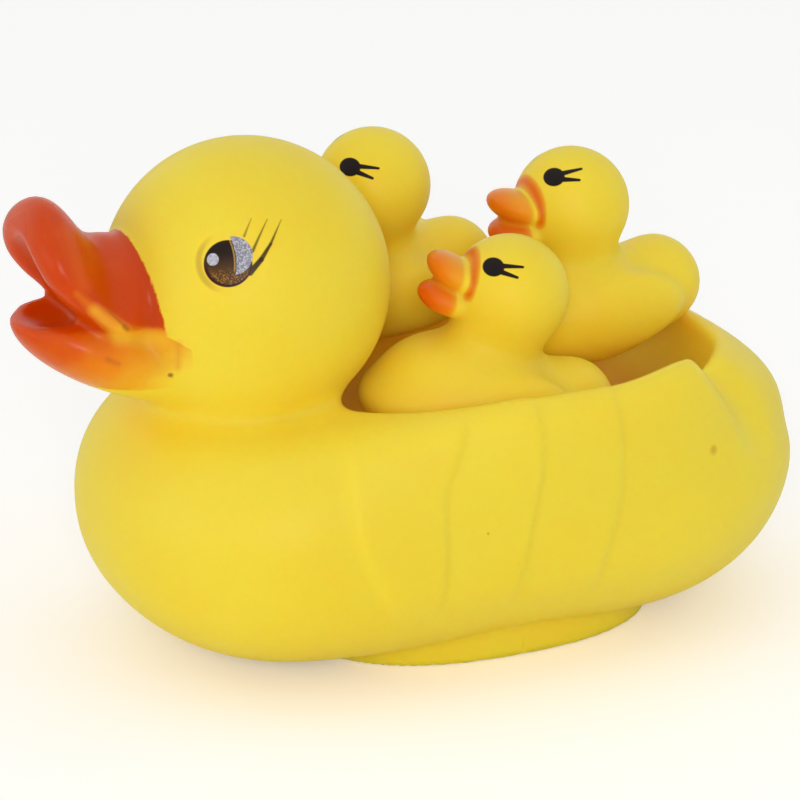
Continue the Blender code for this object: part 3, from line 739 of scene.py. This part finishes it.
def ducklingField(x, y, z, pressed=False):
    # body, raised tail, folded wings, round head and a short open bill; where it is pressed
    # against the neck its soft breast spreads downwards
    blend = duckling["breastBlend"]
    body = joined(ellipsoid(x, y, z, duckling["bodyCentre"], duckling["bodyRadii"]),
                  ellipsoid(x, y, z, duckling["tailCentre"], duckling["tailRadii"]), blend)
    wing = ellipsoid(np.abs(x), y, z, duckling["wingCentre"], duckling["wingRadii"])
    body = joined(body, wing, duckling["wingBlend"])
    if pressed:
        body = joined(body, ellipsoid(x, y, z, *duckling["pressedBreast"]), blend)
    head = ellipsoid(x, y, z, duckling["headCentre"], duckling["headRadii"])
    body = joined(body, head, duckling["neckBlend"])
    forward, up = duckling["headCentre"][1] - y, z - duckling["headCentre"][2]
    halves = []
    for root, tilt, radii in (duckling["upperBill"], duckling["lowerBill"]):
        s, v = tilted(forward, up, root, tilt)
        halves.append(ellipsoid(x, s, v, (0.0, 0.0, 0.0), radii))
    body = joined(body, joined(*halves, duckling["gape"]), duckling["billBlend"])
    body = common(body, -z, 0.6)
    radius, depth, middle = duckling["pocket"]
    pocket = common(np.sqrt(x * x + (y - middle) ** 2) - radius, z - depth, 0.15)
    return common(body, -pocket, 0.15)


def ducklingBillMap(points, slip):
    # as the mother's, with the root's painted rim and the thinner, amber coat of the upper bill;
    # slip is how far forward the spray's stencil sat
    f, u = duckling["headCentre"][1] - points[:, 1] - slip, points[:, 2] - duckling["headCentre"][2]
    start, sill = duckling["stencil"]
    middle, wide = duckling["rim"]
    rim = duckling["rimCoat"] * np.exp(-((f - middle) / wide) ** 2) * ramp(-2.6, -0.6, u)
    upper, lower = (root + more * ramp(9.5, 15.0, f)
                    for root, more in (duckling["upperCoat"], duckling["lowerCoat"]))
    above = ramp(-2.0, -1.2, u)
    coat = ramp(8.8, 10.6, f) * (above * upper + (1.0 - above) * lower)
    return np.stack([np.minimum(f - start, u + sill), np.maximum(coat, rim), 0.0 * f], 1)


def stance(pitch, lean, turn):
    # Rz(turn) Ry(lean) Rx(-pitch)
    a, b, c = math.radians(-pitch), math.radians(lean), math.radians(turn)
    rx = np.array(((1, 0, 0), (0, math.cos(a), -math.sin(a)), (0, math.sin(a), math.cos(a))))
    ry = np.array(((math.cos(b), 0, math.sin(b)), (0, 1, 0), (-math.sin(b), 0, math.cos(b))))
    rz = np.array(((math.cos(c), -math.sin(c), 0), (math.sin(c), math.cos(c), 0), (0, 0, 1)))
    return rz @ ry @ rx


squeaker = {
    "mother": (10.5, 3.4, 8.5), "duckling": (5.4, 2.4, -2.0),       # radius, height and Y, mm
    "low": 0.35, "edge": 0.5, "chamfer": 0.1,
    "hole": 0.16, "holeFlare": 0.3,         # whistle hole: its share of the radius
    "groove": (0.29, 0.80), "grooveWall": 0.02, "grooveFloor": (0.36, 0.70), "grooveDepth": 0.22,
    "steps": 72, "edgeSteps": 6,
}


def squeakerProfile(radius, height):
    # (r, z) clockwise from the hole's top: flat top, two quarter rounds, and a ring groove below
    low, edge, chamfer = squeaker["low"], squeaker["edge"], squeaker["chamfer"]
    hole, top, roof = squeaker["hole"] * radius, low + height, low + squeaker["grooveDepth"] * height
    (inner, outer), (near, far) = squeaker["groove"], squeaker["grooveFloor"]
    quarter = np.linspace(0.0, math.pi / 2.0, squeaker["edgeSteps"])
    upper = [(radius - edge + edge * math.sin(t), top - edge + edge * math.cos(t)) for t in quarter]
    lower = [(radius - edge + edge * math.cos(t), low + edge - edge * math.sin(t)) for t in quarter]
    wall = squeaker["grooveWall"] * radius
    return [(hole, top), (hole + squeaker["holeFlare"], top)] + upper + lower + [
        (outer * radius, low), (outer * radius - 1.5 * wall, low + chamfer),
        (far * radius + 1.5 * wall, roof - chamfer), (far * radius, roof),
        (near * radius, roof), (near * radius - wall, roof - chamfer),
        (inner * radius + wall, low + chamfer), (inner * radius, low),
        (hole + 2.0 * chamfer, low), (hole, low + 2.0 * chamfer)]


discMaterial = squeakerPlastic()


def addSqueaker(name, node, kind, turn, place):
    # a disc seated in a foot's pocket: R (p + (0, Y, 0)) + the foot's place
    radius, height, middle = squeaker[kind]
    points, quads = turned(squeakerProfile(radius, height), squeaker["steps"])
    points = (points + (0.0, middle, 0.0)) @ turn.T + place
    frameMesh(name, points, quads[:, ::-1], discMaterial, node, {})


addSqueaker("motherSqueaker", "mother_squeaker", "mother", np.eye(3), np.zeros(3))
print("ducklings: skin")
chickBox = (-15.0, -23.0, -1.0), (15.0, 22.0, 39.0)
freeChick = skin(ducklingField, *chickBox, duckling["cell"])
pressedChick = skin(lambda x, y, z: ducklingField(x, y, z, True), *chickBox, duckling["cell"])
chickMaterial = softVinyl("printedSoftVinyl", ducklingPaint)
for name, node, place, pitch, lean, turnBy, eye, printTurn, slip in duckling["brood"]:
    turn = stance(pitch, lean, turnBy)
    chickPoints, chickQuads = pressedChick if name == "leftDuckling" else freeChick
    c, s = math.cos(math.radians(printTurn)), math.sin(math.radians(printTurn))
    right, up = (padRight * c + padUp * s) @ turn, (padUp * c - padRight * s) @ turn
    frameMesh(name, chickPoints @ turn.T + place, chickQuads, chickMaterial, node, {
        "eyeMap": padMap(chickPoints, eye, right, up, padNormal @ turn, ducklingMarks["farSlip"]),
        "billMap": ducklingBillMap(chickPoints, slip),
    })
    addSqueaker(name + "Squeaker", node + "_squeaker", "duckling", turn, np.array(place))
print("ducklings:", len(chickQuads) * 2, "triangles each")

studio = {
    "floorHalf": 3.0, "floorColour": "#FBFBFA", "floorGlow": 0.24,
    "pulp": 2.5, "pulpDepth": 0.0001,           # mm across a fibre's patch; metres
    "world": 0.59,
    # place, side and watts of each softbox
    "key": ((1.10, -0.50, 0.50), 0.3, 3.8), "front": ((0.15, -1.15, 0.14), 0.8, 2.3),
    "top": ((0.0, 0.15, 1.30), 1.2, 1.6),
    "target": (0.0, 0.0025, 0.040), "distance": 0.700, "pixelsPerMm": 6.2,
    "centreShift": (-0.00242, -0.00290),        # sideways and upwards
}


def addFloor():
    # matt card, a little brighter to the camera alone: the glow lights nothing, so it isn't sampled
    material = bpy.data.materials.new("paleCard")
    material.use_nodes = True
    tree = material.node_tree
    tree.nodes.clear()
    place = addNode(tree, "TexCoord", {}).node.outputs["Object"]
    pulp = addNode(tree, "TexNoise", {"Vector": place, "Scale": perMetre(studio["pulp"]), "Detail": 3.0})
    bump = addNode(tree, "Bump", {"Height": pulp, "Strength": 0.1, "Distance": studio["pulpDepth"]})
    seen = addNode(tree, "LightPath", {}).node.outputs["Is Camera Ray"]
    glow = addNode(tree, "Math", {"operation": 'MULTIPLY', 0: seen, 1: studio["floorGlow"]})
    shader = addNode(tree, "BsdfPrincipled", {
        "Base Color": hexColour(studio["floorColour"]), "Roughness": 0.9, "Normal": bump,
        "Emission Color": (1.0, 1.0, 1.0, 1.0), "Emission Strength": glow})
    addNode(tree, "OutputMaterial", {"Surface": shader})
    material.cycles.emission_sampling = 'NONE'
    h = studio["floorHalf"]
    mesh = bpy.data.meshes.new("floor")
    mesh.from_pydata([(-h, -h, 0.0), (h, -h, 0.0), (h, h, 0.0), (-h, h, 0.0)], [], [(0, 1, 2, 3)])
    mesh.materials.append(material)
    floor = bpy.data.objects.new("floor", mesh)
    bpy.context.scene.collection.objects.link(floor)


def addSoftbox(name, place, side, watts):
    # a square area light that faces the target
    light = bpy.data.lights.new(name, 'AREA')
    light.shape, light.size, light.energy = 'SQUARE', side, watts
    box = bpy.data.objects.new(name, light)
    box.location = place
    box.rotation_euler = (Vector(studio["target"]) - Vector(place)).to_track_quat('-Z', 'Y').to_euler()
    bpy.context.scene.collection.objects.link(box)


def addWorld():
    # even grey light, seen as white by the camera and in reflections
    world = bpy.data.worlds.new("studio")
    bpy.context.scene.world = world
    world.use_nodes = True
    tree = world.node_tree
    tree.nodes.clear()
    path = addNode(tree, "LightPath", {}).node.outputs
    seen = path["Is Camera Ray"]
    for ray in ("Is Glossy Ray", "Is Transmission Ray"):
        seen = addNode(tree, "Math", {"operation": 'MAXIMUM', 0: seen, 1: path[ray]})
    strength = addNode(tree, "Mix", {0: seen, 2: studio["world"], 3: 1.0})
    light = addNode(tree, "Background", {"Color": (1.0, 1.0, 1.0, 1.0), "Strength": strength})
    addNode(tree, "OutputWorld", {"Surface": light})


def addCamera():
    # on the pad's own axis, at a distance; lens = sensor x distance x pixels per mm / picture width
    right, up, toward = Vector(padRight), Vector(padUp), Vector(padNormal)
    across, above = studio["centreShift"]
    lookAt = Vector(studio["target"]) + right * across + up * above
    view = bpy.data.cameras.new("camera")
    view.sensor_width = 36.0
    view.lens = 36.0 * studio["distance"] * 1000.0 * studio["pixelsPerMm"] / 800.0
    view.clip_start, view.clip_end = 0.05, 20.0
    camera = bpy.data.objects.new("camera", view)
    camera.location = lookAt + toward * studio["distance"]
    camera.rotation_euler = (-toward).to_track_quat('-Z', 'Y').to_euler()
    bpy.context.scene.collection.objects.link(camera)
    bpy.context.scene.camera = camera


addFloor()
for title in ("key", "front", "top"):
    addSoftbox(title, *studio[title])
addWorld()
addCamera()
bpy.context.scene.view_settings.view_transform = 'Standard'
print("studio ready")
